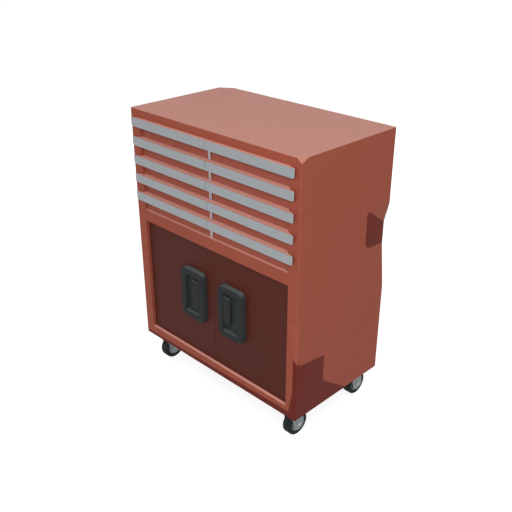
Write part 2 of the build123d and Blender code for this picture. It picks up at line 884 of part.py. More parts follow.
door_pieces = {
    "door": door(),
    "handle_housing": handle_housing(),
    "handle_paddle": handle_paddle(),
    "latch_bolt": latch_bolt(),
}
for piece, shape in door_pieces.items():
    for name, side in sides.items():
        nodes[f"{name}_{piece}"] = on_side(shape, side)

caster_rows = {"front": 0, "rear": 1}
caster_pieces = {
    "caster_fork": caster_fork(),
    "wheel_hub": wheel_hub(),
    "wheel_tyre": wheel_tyre(),
}
plates = []
for end, row in caster_rows.items():
    for name, side in sides.items():
        plates.append(at_caster(caster_plate(), side, row))
        for piece, shape in caster_pieces.items():
            nodes[f"{end}_{name}_{piece}"] = at_caster(shape, side, row)
nodes["caster_plates"] = group(plates)

os.makedirs("parts", exist_ok=True)
for name, shape in nodes.items():
    export_step(shape, f"parts/{name}.step")
print(len(nodes), "nodes written")
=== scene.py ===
# %% [markdown]
# # A rolling tool cabinet, dressed for the studio
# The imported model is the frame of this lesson. Its panels, drawers, doors and casters already stand
# at their real size and place, in metres, with X to the right, the front facing -Y and Z up.
# Nothing here moves them. What is added is what a drawing office leaves out: the rounded folds of
# bent sheet, the finish of each surface, the small hardware that repeats, a floor, some light and a
# camera.

# %% Load the frame
import json
import math

import bmesh
import bpy
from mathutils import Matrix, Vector

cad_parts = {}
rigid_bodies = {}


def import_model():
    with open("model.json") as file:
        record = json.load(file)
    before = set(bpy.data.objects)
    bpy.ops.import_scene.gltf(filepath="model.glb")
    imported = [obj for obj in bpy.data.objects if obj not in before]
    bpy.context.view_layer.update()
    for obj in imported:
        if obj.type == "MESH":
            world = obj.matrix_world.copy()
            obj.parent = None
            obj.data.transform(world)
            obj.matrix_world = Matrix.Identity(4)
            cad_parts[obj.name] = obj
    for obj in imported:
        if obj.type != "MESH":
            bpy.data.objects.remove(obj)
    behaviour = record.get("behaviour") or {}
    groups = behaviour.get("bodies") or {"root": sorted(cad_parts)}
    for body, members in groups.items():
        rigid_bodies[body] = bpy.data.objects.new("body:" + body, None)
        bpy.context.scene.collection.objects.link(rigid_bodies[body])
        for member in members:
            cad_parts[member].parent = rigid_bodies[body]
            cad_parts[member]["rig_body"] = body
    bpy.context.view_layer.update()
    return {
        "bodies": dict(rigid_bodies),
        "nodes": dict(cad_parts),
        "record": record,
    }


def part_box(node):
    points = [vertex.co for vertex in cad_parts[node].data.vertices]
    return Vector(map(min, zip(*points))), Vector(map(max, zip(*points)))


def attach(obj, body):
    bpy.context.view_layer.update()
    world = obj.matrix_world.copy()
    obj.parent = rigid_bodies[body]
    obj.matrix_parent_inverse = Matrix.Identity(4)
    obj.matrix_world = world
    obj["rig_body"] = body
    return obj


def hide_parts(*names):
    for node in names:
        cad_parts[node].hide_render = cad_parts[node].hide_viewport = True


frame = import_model()

# %% [markdown]
# ## The camera
# The picture looks down on the front right corner. A camera could be typed in as a place and three
# angles, but a target, a compass direction, a height angle and a distance are easier to read and to
# correct, so the place is worked out from those. The lens is a plain 50 mm on a 36 mm sensor.

# %% Stand the camera at the front right
VIEW_TARGET = Vector((0.003, -0.004, 0.5143))
VIEW_AZIMUTH = 44.96
VIEW_ELEVATION = 26.40
VIEW_DISTANCE = 2.541
LENS_MM = 50
SENSOR_MM = 36


def outward(azimuth, elevation):
    """The direction from the cabinet to a place round it, in degrees. Azimuth 0 is in front."""
    turn = math.radians(azimuth)
    rise = math.radians(elevation)
    level = math.cos(rise)
    return Vector((math.sin(turn) * level, -math.cos(turn) * level, math.sin(rise)))


def link(thing):
    """Put a new object in the scene."""
    bpy.context.scene.collection.objects.link(thing)
    return thing


def aim(thing, direction, distance, target):
    """Stand a camera or a lamp at a distance from a target, looking at it."""
    thing.location = target + direction * distance
    thing.rotation_euler = direction.to_track_quat("Z", "Y").to_euler()


camera = link(bpy.data.objects.new("camera", bpy.data.cameras.new("camera")))
camera.data.lens = LENS_MM
camera.data.sensor_width = SENSOR_MM
aim(camera, outward(VIEW_AZIMUTH, VIEW_ELEVATION), VIEW_DISTANCE, VIEW_TARGET)
bpy.context.scene.camera = camera
print("camera at", [round(value, 3) for value in camera.location])

# %% [markdown]
# ## Node trees as plain sums
# A material is a tree of nodes, and writing one link at a time hides the idea. One small class
# wraps a socket, so that a formula such as `0.4 + 0.1 * noise` adds the Math nodes by itself. Every
# other node comes from one method, which takes the node's type, its settings and what goes into its
# sockets. The same class builds the Geometry Nodes trees further down.

# %% A socket that can be added and multiplied
class Field:
    """One output of a node tree, or the bare tree when no socket is given."""

    def __init__(self, tree, socket=None):
        self.tree = tree
        self.socket = socket

    def node(self, kind, settings=None, inputs=None, output=0):
        """Add a node: settings first, then its sockets. Gives one of its outputs.

        Sockets go by name or number, and a list links several fields to one of them.
        """
        made = self.tree.nodes.new(kind)
        for name, value in (settings or {}).items():
            if name == "stops":
                self.set_stops(made.color_ramp, value)
            else:
                setattr(made, name, value)
        for key, value in (inputs or {}).items():
            for field in value if isinstance(value, list) else [value]:
                if isinstance(field, Field):
                    self.tree.links.new(field.socket, made.inputs[key])
                else:
                    made.inputs[key].default_value = field
        return Field(self.tree, made.outputs[output] if len(made.outputs) else None)

    def out(self, name):
        """Another output of the same node."""
        return Field(self.tree, self.socket.node.outputs[name])

    @staticmethod
    def set_stops(ramp, stops):
        """Give a colour ramp its stops, as pairs of place and grey level."""
        while len(ramp.elements) < len(stops):
            ramp.elements.new(1)
        for element, (place, level) in zip(ramp.elements, stops):
            element.position = place
            element.color = (level, level, level, 1)

    def math(self, operation, first, second=0):
        """A Math node on two numbers or fields."""
        return self.node("ShaderNodeMath", {"operation": operation}, {0: first, 1: second})

    def __add__(self, other):
        return self.math("ADD", self, other)

    def __sub__(self, other):
        return self.math("SUBTRACT", self, other)

    def __rsub__(self, other):
        return self.math("SUBTRACT", other, self)

    def __mul__(self, other):
        return self.math("MULTIPLY", self, other)

    __radd__ = __add__
    __rmul__ = __mul__

    def ramp(self, *stops):
        """Bend this value through grey stops."""
        return self.node("ShaderNodeValToRGB", {"stops": stops}, {"Fac": self})

    def blend(self, low, high):
        """A colour between two, by this value."""
        return self.node("ShaderNodeMix", {"data_type": "RGBA"}, {0: self, 6: low, 7: high}, 2)


print("node kit: sums, products, ramps and blends")

# %% [markdown]
# ## Where a material starts and ends
# Every finish on the cabinet starts as an empty tree and ends in one Principled shader, which other
# programs understand as well. What tells a coat from a plating is only what goes into the shader's
# sockets, and how deep the surface is broken up. That fine relief is a bump, because grains of a
# millimetre would take far too many faces as real geometry.

# %% An empty tree, and the shader that ends it
def new_material(name):
    """An empty material and the bare tree to build its nodes in."""
    material = bpy.data.materials.new(name)
    material.use_nodes = True
    material.node_tree.nodes.clear()
    return material, Field(material.node_tree)


def finish_surface(tree, sockets, height, depth):
    """End a material in one Principled shader, with a bump of this depth."""
    bump = {"Strength": 1.0, "Distance": depth, "Height": height}
    sockets = {**sockets, "Normal": tree.node("ShaderNodeBump", {}, bump)}
    shader = tree.node("ShaderNodeBsdfPrincipled", {}, sockets)
    tree.node("ShaderNodeOutputMaterial", {}, {"Surface": shader})


finishes = {}
print("finishes so far:", len(finishes))

# %% [markdown]
# ## Noise at a real scale
# Every finish here has a grain with a size that can be measured: the peel of powder coat is about a
# millimetre, moulded spark texture is finer, and cleaning leaves cloudy patches as wide as a hand.
# Object coordinates are in metres on every piece, so one helper asks for the grain in metres. A
# grain may be drawn out along one axis, which is how brushing is made. A second helper reads the
# rim, a mark that is put on the rounded edges of each mesh further down, so that wear follows the
# real edges. A third finds the faces that look up, where a painted highlight stands in for light from
# above.

# %% Grain, rims and faces that look up
PLAIN = (1, 1, 1)
NOISE_ROUGHNESS = 0.55
NOISE_MIDDLE = 0.5
LOOKS_UP_STOPS = ((0.45, 0), (0.9, 1))


def object_place(tree):
    """Where a point of the surface is, in metres."""
    return tree.node("ShaderNodeTexCoord", {}, {}, "Object")


def object_axis(tree, axis):
    """How far along an axis a point of the surface is, in metres."""
    return tree.node("ShaderNodeSeparateXYZ", {}, {"Vector": object_place(tree)}, axis)


def grain(tree, size, detail=2.0, stretch=PLAIN):
    """Noise with grains of this size, longer along an axis by its stretch."""
    drawn = {"Vector": object_place(tree), "Scale": tuple(1 / share for share in stretch)}
    sockets = {
        "Vector": tree.node("ShaderNodeMapping", {}, drawn),
        "Scale": 1 / size,
        "Detail": detail,
        "Roughness": NOISE_ROUGHNESS,
    }
    return tree.node("ShaderNodeTexNoise", {}, sockets)


def rim_mark(tree):
    """One on the rounded edges of a dressed piece, nought elsewhere."""
    return tree.node("ShaderNodeAttribute", {"attribute_name": "rim"}, {}, "Fac")


def upward(tree):
    """One where the surface looks up, nought where it stands or hangs."""
    normal = tree.node("ShaderNodeTexCoord", {}, {}, "Normal")
    return tree.node("ShaderNodeSeparateXYZ", {}, {"Vector": normal}, "Z").ramp(*LOOKS_UP_STOPS)


def tone(color, share=1.0):
    """A colour made lighter or darker by a share, with its alpha."""
    return tuple(min(1.0, channel * share) for channel in color) + (1,)


def vary(field, color, low_share, high_share):
    """A colour that runs between two tones of itself."""
    return field.blend(tone(color, low_share), tone(color, high_share))


print("grain kit: noise, rims and tops")

# %% [markdown]
# ## Powder coat
# The body, doors, base and guard are sheet steel with powder coat baked on. It is not flat: the
# melt leaves an orange peel, the gloss clouds a little where hands and rags go, tools leave fine
# scratches, and on folded edges the coat pulls thin and rubs paler. A picture of worn paint could
# be wrapped round the panels, but noise at real sizes never repeats and needs no unwrapping. It is
# a satin coat, so its reflection is weak.

# %% How a powder coat is built
MM = 0.001
PEEL_SIZE = 1.4 * MM
PEEL_DEPTH = 0.1 * MM
CLOUD_SIZE = 160 * MM
CLOUD_TONES = (0.95, 1.05)
CLOUD_GLOSS = 0.14
SCUFF_SIZE = 9 * MM
SCUFF_STOPS = ((0.42, 0), (0.62, 1))
SCRATCH_SIZE = 0.6 * MM
SCRATCH_DRAWN = (70, 9, 1)
SCRATCH_STOPS = ((0.66, 0), (0.72, 1))
SCRATCH_WEAR = 0.12
RIM_WEAR = 0.1
RIM_SCUFF = 0.4
WORN_GLOSS = 0.06
# how strongly faces that look up take the painted highlight
TOP_HIGHLIGHT_LEAST = 0.85
TOP_HIGHLIGHT_CLOUD = 0.3
COAT_SPECULAR = 0.09
BEHIND_ALL = 1.0


def powder_coat(name, color, worn_and_highlight, roughness, line=BEHIND_ALL):
    """Baked paint with peel, clouded gloss and thin folds, with a painted highlight on tops in front
    of a line.
    """
    material, tree = new_material(name)
    cloud = grain(tree, CLOUD_SIZE, detail=4.0)
    scuff = grain(tree, SCUFF_SIZE, detail=3.0).ramp(*SCUFF_STOPS)
    scratch = grain(tree, SCRATCH_SIZE, detail=1.0, stretch=SCRATCH_DRAWN)
    scratch = scratch.ramp(*SCRATCH_STOPS)
    worn = rim_mark(tree) * (RIM_WEAR + RIM_SCUFF * scuff) + SCRATCH_WEAR * scratch
    # painted highlight: faces that look up, in front of the line, are painted paler as if lit from
    # above
    in_front = tree.math("LESS_THAN", object_axis(tree, "Y"), line)
    top = upward(tree) * in_front * (TOP_HIGHLIGHT_LEAST + TOP_HIGHLIGHT_CLOUD * cloud)
    coat = top.blend(vary(cloud, color, *CLOUD_TONES), tone(worn_and_highlight))
    sockets = {
        # worn rims take the same pale tone as the painted highlight on tops
        "Base Color": worn.blend(coat, tone(worn_and_highlight)),
        "Roughness": roughness + CLOUD_GLOSS * (cloud - NOISE_MIDDLE) - WORN_GLOSS * worn,
        "Specular IOR Level": COAT_SPECULAR,
    }
    finish_surface(tree, sockets, grain(tree, PEEL_SIZE), PEEL_DEPTH)
    return material


print("powder coat: peel of", PEEL_SIZE, "m, clouds of", CLOUD_SIZE, "m")

# %% [markdown]
# ## Three reds and a maroon
# Body and drawers are the same red, the doors are maroon, and the base and guard are a deep red.
# The drawers' red is painted paler and greyer, painted light against the shade and red bounce under
# the pulls. Faces that look up are painted salmon, a painted highlight of light from above, and worn
# rims take the same pale tones. On the front the painted highlight is stronger still, on the sills
# and ledges that the pulls shade, but not inside the drawers. A mask could be painted for that, but
# the faces in question all lie in front of one line, so a comparison is enough: the painted
# highlight stops behind the drawer faces.

# %% Mix the coats
BODY_RED = (0.31, 0.0745, 0.0445)
# the body red painted paler and greyer: painted light against the shade and red bounce under the
# pulls
SHADE_LIFTED_DRAWER_RED = (0.335, 0.094, 0.066)
# pale tones for worn rims and for the painted highlight on tops; the ledge one is stronger, for sills
# and ledges shaded by the pulls
WORN_AND_HIGHLIGHT_RED = (0.53, 0.235, 0.185)
WORN_AND_LEDGE_HIGHLIGHT_RED = (0.75, 0.345, 0.28)
MAROON = (0.077, 0.0165, 0.011)
WORN_AND_HIGHLIGHT_MAROON = (0.12, 0.05, 0.04)
DEEP_RED = (0.13, 0.0155, 0.009)
WORN_AND_HIGHLIGHT_DEEP_RED = (0.2, 0.07, 0.055)
SATIN = 0.5
DULL_SATIN = 0.52
# the painted highlight on the front stops behind this line
FACE_LINE = -204.5 * MM
COATS = {
    "body_red": ("red_powder_coat", BODY_RED, WORN_AND_HIGHLIGHT_RED, SATIN),
    "frame_red": ("red_frame_powder_coat", BODY_RED, WORN_AND_LEDGE_HIGHLIGHT_RED, SATIN, FACE_LINE),
    "drawer_red": ("red_drawer_powder_coat", SHADE_LIFTED_DRAWER_RED, WORN_AND_LEDGE_HIGHLIGHT_RED, SATIN, FACE_LINE),
    "door_maroon": ("maroon_powder_coat", MAROON, WORN_AND_HIGHLIGHT_MAROON, DULL_SATIN),
    "guard_red": ("dark_red_powder_coat", DEEP_RED, WORN_AND_HIGHLIGHT_DEEP_RED, SATIN),
}
for slot, recipe in COATS.items():
    finishes[slot] = powder_coat(*recipe)
print("powder coats:", sorted(COATS))

# %% [markdown]
# ## Bare and plated metal
# The drawer pulls and the strip between the columns are extruded aluminium, brushed along their
# length and anodised to a satin grey. Slides, casters and fasteners are zinc plated steel: duller,
# with the faint crystal patches of the plating. Both are metals, so their colour is in the
# reflection, and the grain goes into the roughness and a very shallow bump. Brushing could be an
# anisotropic shader, but drawn-out noise also shows in the colour when the light is flat.

# %% Satin aluminium and zinc plate
BRUSH_SIZE = 0.9 * MM
BRUSH_DEPTH = 0.015 * MM
BRUSH_SHARE = 0.7
CLOUD_SHARE = 0.3
BRUSH_TONES = (0.9, 1.1)
BRUSHED_LEAST = 0.36
BRUSHED_SPREAD = 0.2
SPANGLE_SIZE = 6 * MM
SPANGLE_SHARE = 0.5
FINE_SHARE = 0.5
SPANGLE_TONES = (0.85, 1.15)
SPANGLE_GLOSS = 0.12
METAL_RIM = 0.4
METAL_RIM_TONE = 1.4


def bright_rim(tree, skin, color):
    """A metal's skin, with its rims rubbed brighter."""
    return (METAL_RIM * rim_mark(tree)).blend(skin, tone(color, METAL_RIM_TONE))


def satin_aluminium(name, color, metallic, along):
    """Anodised extrusion, brushed along one axis, with bright rims."""
    material, tree = new_material(name)
    brushed = grain(tree, BRUSH_SIZE, detail=3.0, stretch=along)
    streak = BRUSH_SHARE * brushed + CLOUD_SHARE * grain(tree, CLOUD_SIZE)
    sockets = {
        "Base Color": bright_rim(tree, vary(streak, color, *BRUSH_TONES), color),
        "Metallic": metallic,
        "Roughness": BRUSHED_LEAST + BRUSHED_SPREAD * brushed,
    }
    finish_surface(tree, sockets, brushed, BRUSH_DEPTH)
    return material


def zinc_plate(name, color, metallic, roughness):
    """Plated steel with the crystal patches of the zinc."""
    material, tree = new_material(name)
    cells = {"Vector": object_place(tree), "Scale": 1 / SPANGLE_SIZE}
    patches = tree.node("ShaderNodeTexVoronoi", {}, cells, "Color")
    spangle = tree.node("ShaderNodeSeparateColor", {}, {"Color": patches})
    fine = grain(tree, BRUSH_SIZE)
    plate = vary(SPANGLE_SHARE * spangle + FINE_SHARE * fine, color, *SPANGLE_TONES)
    sockets = {
        "Base Color": bright_rim(tree, plate, color),
        "Metallic": metallic,
        "Roughness": roughness + SPANGLE_GLOSS * (spangle - NOISE_MIDDLE),
    }
    finish_surface(tree, sockets, fine, BRUSH_DEPTH)
    return material


print("metal kit: brushing of", BRUSH_SIZE, "m, spangle of", SPANGLE_SIZE, "m")

# %% [markdown]
# ## Two anodised greys and five platings
# Each metal piece has its own grey, because age and plating bath differ from one to the next: the
# slides stay bright in the dark, while the casters near the floor have gone dull. One material
# could serve them all, but a table of recipes costs little and lets each be set against the
# picture.

# %% Mix the metals
ALONG_X = (60, 1, 1)
ALONG_Z = (1, 1, 60)
EXTRUSIONS = {
    "pull_grey": {
        "name": "satin_pull_aluminium", "color": (0.31, 0.33, 0.345),
        "metallic": 0.85, "along": ALONG_X},
    "mullion_grey": {
        "name": "satin_strip_aluminium", "color": (0.43, 0.405, 0.43),
        "metallic": 0.35, "along": ALONG_Z},
}
PLATINGS = {
    "slide_zinc": {"color": (0.5, 0.52, 0.54), "metallic": 0.9, "roughness": 0.38},
    "latch_zinc": {"color": (0.5, 0.51, 0.52), "metallic": 0.9, "roughness": 0.36},
    "screw_zinc": {"color": (0.42, 0.43, 0.44), "metallic": 0.9, "roughness": 0.34},
    "caster_zinc": {"color": (0.19, 0.222, 0.232), "metallic": 0.4, "roughness": 0.45},
    "axle_zinc": {"color": (0.36, 0.38, 0.4), "metallic": 0.4, "roughness": 0.4},
}
for slot, recipe in EXTRUSIONS.items():
    finishes[slot] = satin_aluminium(**recipe)
for slot, recipe in PLATINGS.items():
    finishes[slot] = zinc_plate(slot, **recipe)
print("metals:", sorted(EXTRUSIONS), sorted(PLATINGS))

# %% [markdown]
# ## Moulded plastic
# The handles are moulded in black plastic from a tool with a spark-eroded texture, which breaks up
# the gloss. Faces that look up, and the top of each paddle, are painted paler, a painted highlight of
# light from above. The flanks and the pocket behind the front are painted greyer, painted light that
# lifts the shade inside the pocket, and the rims are paler, edge wear and painted sheen together.
# Only the direction and place of each face are needed for that. The wheel hubs are a plainer grey
# moulding and the grip pads a dark red one.

# %% Mould the handles, hubs and pads
SPARK_SIZE = 0.7 * MM
SPARK_DEPTH = 0.04 * MM
PLASTIC_SPECULAR = 0.06
PLASTIC_ROUGHNESS = 0.5
PAD_ROUGHNESS = 0.6
PLASTIC_CLOUD = 80 * MM
PLASTIC_GLOSS = 0.12
# the wide upper tone leaves room for the painted pocket light
PLASTIC_TONES = (0.9, 2.2)
CLOUD_GREY = 0.7
# painted light: how much paler the pocket and flanks are painted, to lift their shade
POCKET_LIGHT_SHARE = 0.6
# rims painted paler: edge wear and painted sheen together
PLASTIC_RIM_WEAR_AND_SHEEN = 0.2
PLASTIC_RIM_WEAR_AND_SHEEN_TONE = 1.6
RIM_GLOSS = 0.1
HANDLE_BLACK = (0.016, 0.018, 0.019)
# painted highlight on the handle's tops, as if lit from above
HANDLE_TOP_HIGHLIGHT = (0.1, 0.108, 0.11)
HUB_GREY = (0.2, 0.22, 0.23)
GRIP_RED = (0.109, 0.0195, 0.0135)
# painted light begins this far behind the handle's front and below the paddle's top
LIGHT_MARK_INSET = 2.5 * MM
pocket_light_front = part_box("right_handle_housing")[0].y + LIGHT_MARK_INSET
# the paddle takes its painted highlight only on its top edge
paddle_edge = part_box("right_handle_paddle")[1].z - LIGHT_MARK_INSET


def moulded_plastic(name, color, top_highlight, roughness, front=BEHIND_ALL, highlight_foot=0.0):
    """Textured plastic, painted greyer behind its front to lift the pocket's shade, with a painted
    highlight on tops above a height.
    """
    material, tree = new_material(name)
    cloud = grain(tree, PLASTIC_CLOUD, detail=3.0)
    rim = rim_mark(tree)
    # painted light: all that lies behind the front is painted greyer, to lift the shade in the pocket
    # and on the flanks
    behind = tree.math("GREATER_THAN", object_axis(tree, "Y"), front)
    skin = vary(CLOUD_GREY * cloud + POCKET_LIGHT_SHARE * behind, color, *PLASTIC_TONES)
    # painted highlight on faces that look up, above a height
    dust = upward(tree) * tree.math("GREATER_THAN", object_axis(tree, "Z"), highlight_foot)
    top_highlighted = dust.blend(skin, tone(top_highlight))
    sockets = {
        # rims paler: edge wear and painted sheen
        "Base Color": (PLASTIC_RIM_WEAR_AND_SHEEN * rim).blend(top_highlighted, tone(color, PLASTIC_RIM_WEAR_AND_SHEEN_TONE)),
        "Roughness": roughness + PLASTIC_GLOSS * (cloud - NOISE_MIDDLE) - RIM_GLOSS * rim,
        "Specular IOR Level": PLASTIC_SPECULAR,
    }
    finish_surface(tree, sockets, grain(tree, SPARK_SIZE), SPARK_DEPTH)
    return material


MOULDINGS = {
    "handle_black": (
        "black_handle_plastic", HANDLE_BLACK, HANDLE_TOP_HIGHLIGHT, PLASTIC_ROUGHNESS, pocket_light_front),
    "paddle_black": (
        "black_paddle_plastic", HANDLE_BLACK, HANDLE_TOP_HIGHLIGHT, PLASTIC_ROUGHNESS, pocket_light_front,
        paddle_edge),
    "hub_grey": ("grey_hub_plastic", HUB_GREY, HUB_GREY, PLASTIC_ROUGHNESS),
    "grip_red": ("red_grip_plastic", GRIP_RED, GRIP_RED, PAD_ROUGHNESS),
}
for slot, recipe in MOULDINGS.items():
    finishes[slot] = moulded_plastic(*recipe)
print("mouldings:", sorted(MOULDINGS))

# %% [markdown]
# ## Tyre rubber
# The tyres are solid rubber, the dullest surface here, with floor dust rubbed into them in patches.
# The dust could follow the tread, but a caster's tyre scrubs sideways as it swivels and gets dirty
# all over, so patches of noise are nearer the truth.

# %% Mix the rubber
FLOOR_DIRT_SIZE = 12 * MM
FLOOR_DIRT_STOPS = ((0.45, 0), (0.75, 1))
FLOOR_DIRT_SHARE = 0.35
RUBBER_ROUGHNESS = 0.68
DIRT_ROUGHNESS = 0.2
RUBBER_BLACK = (0.018, 0.02, 0.021)
FLOOR_DIRT = (0.1, 0.096, 0.09)


def tyre_rubber(name, color, dirt):
    """Solid rubber with floor dust rubbed into it in patches."""
    material, tree = new_material(name)
    patch = grain(tree, FLOOR_DIRT_SIZE, detail=4.0).ramp(*FLOOR_DIRT_STOPS)
    sockets = {
        "Base Color": (FLOOR_DIRT_SHARE * patch).blend(tone(color), tone(dirt)),
        "Roughness": RUBBER_ROUGHNESS + DIRT_ROUGHNESS * patch,
        "Specular IOR Level": PLASTIC_SPECULAR,
    }
    finish_surface(tree, sockets, grain(tree, SPARK_SIZE), SPARK_DEPTH)
    return material


finishes["tyre_black"] = tyre_rubber("tyre_rubber", RUBBER_BLACK, FLOOR_DIRT)
print("all finishes:", sorted(finishes))

# %% [markdown]
# ## A clean copy of a solid
# The solids arrive as loose triangles with sharp edges, and a solid is left as it is, so each
# visible node gets a dressed copy in its place. The copy's corners are merged and its flat
# triangles joined to whole faces, because only a real edge between two faces can be rounded. A node
# may hold several loose solids, such as a fork and the heads of its axle. They could be split into
# objects, but a search along the edges, from corner to corner, finds them without leaving the mesh.

# %% Copy a node's mesh and find its loose solids
MERGE_WITHIN = 0.02 * MM
FLAT_WITHIN = math.radians(0.3)


def clean_copy(node):
    """A node's mesh with its corners merged and its flat triangles joined."""
    mesh = bmesh.new()
    mesh.from_mesh(frame["nodes"][node].data)
    mesh.faces.layers.float.new("rim")
    bmesh.ops.remove_doubles(mesh, verts=mesh.verts, dist=MERGE_WITHIN)
    bmesh.ops.dissolve_limit(mesh, angle_limit=FLAT_WITHIN, verts=mesh.verts, edges=mesh.edges)
    return mesh


def solids_in(mesh):
    """The corners of each loose solid of a mesh."""
    seen = set()
    solids = []
    for start in mesh.verts:
        if start in seen:
            continue
        solid, edge_of_search = [start], [start]
        seen.add(start)
        while edge_of_search:
            vert = edge_of_search.pop()
            fresh = [edge.other_vert(vert) for edge in vert.link_edges]
            fresh = [other for other in fresh if other not in seen]
            seen.update(fresh)
            solid += fresh
            edge_of_search += fresh
        solids.append(solid)
    return solids


def footprint(box):
    """How much floor a box covers."""
    low, high = box
    return (high.x - low.x) * (high.y - low.y)


def loose_boxes(node):
    """The lowest and highest corner of each loose solid of a node, the widest solid last."""
    mesh = clean_copy(node)
    axes = [list(zip(*(vert.co for vert in solid))) for solid in solids_in(mesh)]
    mesh.free()
    boxes = [(Vector(map(min, places)), Vector(map(max, places))) for places in axes]
    return sorted(boxes, key=footprint)


def drop_fasteners(mesh):
    """Keep only the loose solid with the most corners."""
    fasteners = sorted(solids_in(mesh), key=len)[:-1]
    dropped = [vert for solid in fasteners for vert in solid]
    bmesh.ops.delete(mesh, geom=dropped, context="VERTS")


print("copies merge corners within", MERGE_WITHIN, "m")

# %% [markdown]
# ## Rounding the folds
# Bent sheet, moulded plastic and sawn extrusion never end in a knife edge, and it is the thin light
# along an edge that tells the eye what a thing is made of. So a copy's outward edges are rounded. A
# bevel modifier would do that too, but the function used here hands back the faces that it made,
# and those carry the rim mark that the finishes read.

# %% Round the edges of a mesh
SHARP_OVER = math.radians(25)


def every_edge(edge):
    """All edges are wanted."""
    return True


def round_edges(mesh, radius, steps, wanted):
    """Round the outward sharp edges that are wanted, and mark the new faces."""
    rim = mesh.faces.layers.float["rim"]
    edges = [edge for edge in mesh.edges if edge.is_manifold and edge.is_convex]
    edges = [edge for edge in edges if edge.calc_face_angle() > SHARP_OVER and wanted(edge)]
    made = bmesh.ops.bevel(
        mesh, geom=edges, offset=radius, offset_type="OFFSET", segments=steps, profile=0.5,
        affect="EDGES", clamp_overlap=False, loop_slide=True,
    )
    for face in made["faces"]:
        face[rim] = 1.0


print("edges sharper than", round(math.degrees(SHARP_OVER)), "degrees are rounded")

# %% [markdown]
# ## Light on the rounds
# A round of a few flat strips looks turned once its shading is smooth. Smooth shading alone would
# also bend the light on the wide faces beside it, and wash a pale streak across inside corners.
# Marking edges sharp doesn't cure both, so each corner of each face gets a normal of its own: a
# wide face keeps its own right up to the round, and the strips between turn from one face to the
# next.

# %% Work out the normals and make the object
SMOOTH_SHARE = math.cos(SHARP_OVER)


def corner_normals(mesh):
    """A normal for each corner of each face, from the faces at that corner which belong with it."""
    mesh.normal_update()
    mesh.faces.index_update()
    rim = mesh.faces.layers.float["rim"]
    areas = [face.calc_area() for face in mesh.faces]
    normals = []
    for face in mesh.faces:
        for vert in face.verts:
            near = [other for other in vert.link_faces if not other[rim]]
            if near:
                lead = max(near, key=lambda other: other.normal.dot(face.normal)).normal
                near = [other for other in near if other.normal.dot(lead) > SMOOTH_SHARE]
            weights = [other.normal * areas[other.index] for other in near or vert.link_faces]
            normals.append(sum(weights, Vector()).normalized())
    return normals


def settle(mesh, name):
    """Make an object of a mesh, smooth over its rounds and flat on its faces."""
    for face in mesh.faces:
        face.smooth = True
    normals = corner_normals(mesh)
    data = bpy.data.meshes.new(name)
    mesh.to_mesh(data)
    mesh.free()
    data.normals_split_custom_set(normals)
    return link(bpy.data.objects.new(name, data))


print("faces within a cosine of", round(SMOOTH_SHARE, 3), "share a normal")

# %% [markdown]
# ## A dressed copy in a node's place
# A copy has to move as its node does: a drawer's front rides on the drawer, a fork on its caster.
# It is parented to the body that its node rides on, and the node it stands for is hidden. Its
# finish is the one that the record's slot names for the node, unless another is given.

# %% Dress a node
slot_of = {part["node"]: part["material_slot"] for part in frame["record"]["subparts"]}
dressed = []


def stand_for(piece, node):
    """Let a piece ride where a node does, in its place."""
    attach(piece, frame["nodes"][node]["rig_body"])
    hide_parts(node)
    dressed.append(node)


def dress(node, rounds, finish=None, bare=False):
    """Put a rounded copy in a node's place, bare of its fasteners if those are made apart.

    Rounds are (radius, steps, which edges) in turn.
    """
    mesh = clean_copy(node)
    if bare:
        drop_fasteners(mesh)
    for radius, steps, wanted in rounds:
        round_edges(mesh, radius, steps, wanted)
    piece = settle(mesh, node + "_dressed")
    piece.data.materials.clear()
    piece.data.materials.append(finishes[finish or slot_of[node]])
    stand_for(piece, node)


print("slots in the record:", sorted(set(slot_of.values())))

# %% [markdown]
# ## Sheet steel
# The lid is drawn from one sheet, so its top edges have the radius of a press brake, and only its
# lower rim is a cut edge. The doors are pans folded back all round, so the edges of their faces are
# bends too. The drawers show mostly cut edges, which are just broken. Panels that are welded edge
# to edge are dressed flush, so their edges keep only a trace of a round and the seams hardly show.
# One radius for all would be quicker, but a bend and a cut edge catch the light differently.

# %% Round the lid, the doors, the panels and the drawers
BEND_RADIUS = 1.6 * MM
FOLD_RADIUS = 0.7 * MM
CUT_RADIUS = 0.35 * MM
FLUSH_RADIUS = 0.1 * MM
BEND_STEPS = 4
CUT_STEPS = 2
SIDES = ("left", "right")
lid_low, lid_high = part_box("top_panel")
door_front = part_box("right_door")[0].y


def lid_bend(edge):
    """An edge in the upper half of the lid."""
    return all(corner.co.z > (lid_low.z + lid_high.z) / 2 for corner in edge.verts)


def door_fold(edge):
    """An edge round the face of a door."""
    return all(corner.co.y < door_front + CUT_RADIUS for corner in edge.verts)


cut_edges = [(CUT_RADIUS, CUT_STEPS, every_edge)]
flush_edges = [(FLUSH_RADIUS, CUT_STEPS, every_edge)]
dress("top_panel", [(BEND_RADIUS, BEND_STEPS, lid_bend)] + flush_edges)
for side in SIDES:
    dress(f"{side}_door", [(FOLD_RADIUS, BEND_STEPS, door_fold)] + cut_edges)
    dress(f"{side}_side_panel", flush_edges)
for node in ("base_pan", "back_panel", "corner_guard"):
    dress(node, flush_edges)
dress("grip_pads", cut_edges, "grip_red")
dress("front_frame", flush_edges, "frame_red")
drawers = [body for body in frame["bodies"] if body.startswith("drawer_")]
for drawer in drawers:
    dress(f"{drawer}_tray", cut_edges, "drawer_red")
print("sheet steel dressed:", len(dressed))

# %% [markdown]
# ## Pulls, strip, handles and casters
# An extrusion leaves the die with small even radii, so the pulls and the strip between the columns
# are rounded a little more than cut sheet. The handle housings are moulded, with a softer edge
# still, and the caster forks are pressed from thick plate. The paddles could be rounded here too,
# but their solids have round edges already, so they only get normals and a finish.

